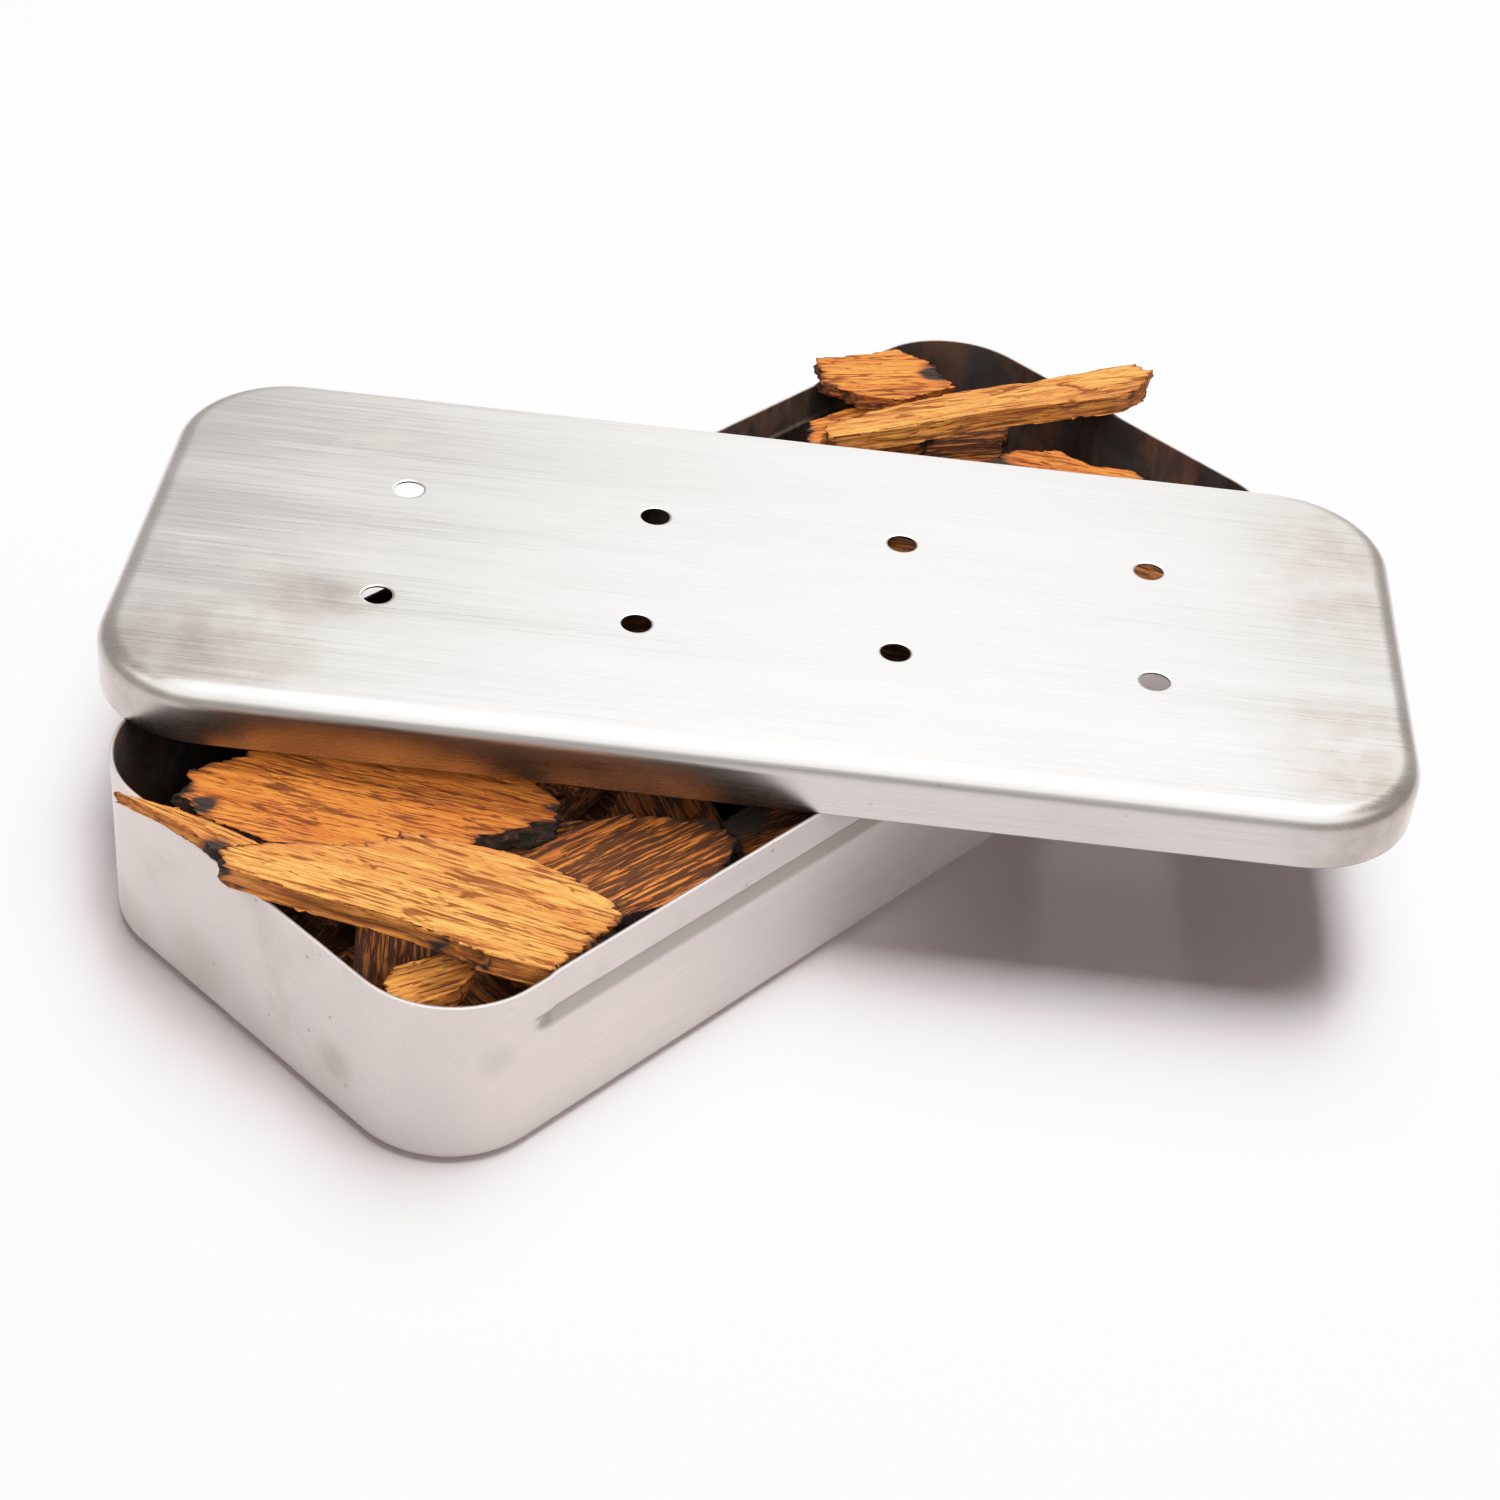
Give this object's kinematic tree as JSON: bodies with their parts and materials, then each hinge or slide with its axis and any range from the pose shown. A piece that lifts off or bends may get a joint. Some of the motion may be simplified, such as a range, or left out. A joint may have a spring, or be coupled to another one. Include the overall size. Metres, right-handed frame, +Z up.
{
  "type": "wood-chip smoker box",
  "caption": "Stainless-steel smoker tray holding a heap of wood chips, with a loose vented lid lying askew across its rim.",
  "frame": {"origin": "middle of the tray's flat underside, on the surface that the tray stands on", "axes": "+X along the tray's length, +Y across it, +Z up"},
  "size_m": [0.2276, 0.2084, 0.042],
  "materials": {
    "tray_steel": "satin pressed stainless sheet, smudged outside and sooty inside",
    "lid_steel": "brushed along its length, faint heat tint by the vents",
    "fresh_wood": "pale golden split wood, open grain",
    "amber_wood": "amber split wood, charred at its broken edges",
    "smoked_wood": "smoke-darkened split wood with black grain lines"
  },
  "bodies": {
    "tray_and_load": {"bed_chip_01": "smoked_wood", "bed_chip_02": "smoked_wood", "bed_chip_03": "smoked_wood", "bed_chip_04": "smoked_wood", "bed_chip_05": "smoked_wood", "bed_chip_06": "smoked_wood", "bed_chip_07": "smoked_wood", "bed_chip_08": "smoked_wood", "bed_chip_09": "smoked_wood", "bed_chip_10": "smoked_wood", "bed_chip_11": "smoked_wood", "bed_chip_12": "smoked_wood", "bed_chip_13": "smoked_wood", "bed_chip_14": "smoked_wood", "bed_chip_15": "smoked_wood", "bed_chip_16": "smoked_wood", "bed_chip_17": "smoked_wood", "bed_chip_18": "smoked_wood", "bed_chip_19": "smoked_wood", "bed_chip_20": "smoked_wood", "bed_chip_21": "smoked_wood", "bed_chip_22": "smoked_wood", "bed_chip_23": "smoked_wood", "bed_chip_24": "smoked_wood", "bed_chip_25": "smoked_wood", "bed_chip_26": "smoked_wood", "bed_chip_27": "smoked_wood", "bed_chip_28": "smoked_wood", "bed_chip_29": "smoked_wood", "bed_chip_30": "smoked_wood", "bed_chip_31": "smoked_wood", "bed_chip_32": "smoked_wood", "bed_chip_33": "smoked_wood", "bed_chip_34": "smoked_wood", "bed_chip_35": "smoked_wood", "bed_chip_36": "smoked_wood", "bed_chip_37": "smoked_wood", "bed_chip_38": "smoked_wood", "bed_chip_39": "smoked_wood", "bed_chip_40": "smoked_wood", "broad_chip": "amber_wood", "front_heap_chip": "smoked_wood", "long_splinter_chip": "fresh_wood", "low_sliver_chip": "amber_wood", "rear_heap_chip_1": "smoked_wood", "rear_heap_chip_2": "smoked_wood", "rear_inner_chip": "amber_wood", "right_side_chip": "smoked_wood", "small_stick_chip": "fresh_wood", "striped_chip": "smoked_wood", "thin_splinter_chip": "amber_wood", "tray": "tray_steel", "under_broad_chip": "amber_wood", "under_plank_chip": "amber_wood"},
    "lid": {"lid": "lid_steel"},
    "front_plank": {"front_plank_chip": "fresh_wood"},
    "rear_broad": {"rear_broad_chip": "amber_wood"},
    "rear_left": {"rear_left_chip": "amber_wood"},
    "rear_stick": {"rear_long_stick_chip": "fresh_wood"}
  },
  "joints": [
    {"name": "lid_lift", "type": "slide", "parent": "tray_and_load", "child": "lid", "axis": [0, 0, 1], "range_m": [0, 0.08]},
    {"name": "front_plank_lift", "type": "slide", "parent": "tray_and_load", "child": "front_plank", "axis": [0, 0, 1], "range_m": [0, 0.05]},
    {"name": "rear_broad_lift", "type": "slide", "parent": "tray_and_load", "child": "rear_broad", "axis": [0, 0, 1], "range_m": [0, 0.05]},
    {"name": "rear_left_lift", "type": "slide", "parent": "tray_and_load", "child": "rear_left", "axis": [0, 0, 1], "range_m": [0, 0.05]},
    {"name": "rear_stick_lift", "type": "slide", "parent": "tray_and_load", "child": "rear_stick", "axis": [0, 0, 1], "range_m": [0, 0.06]}
  ]
}
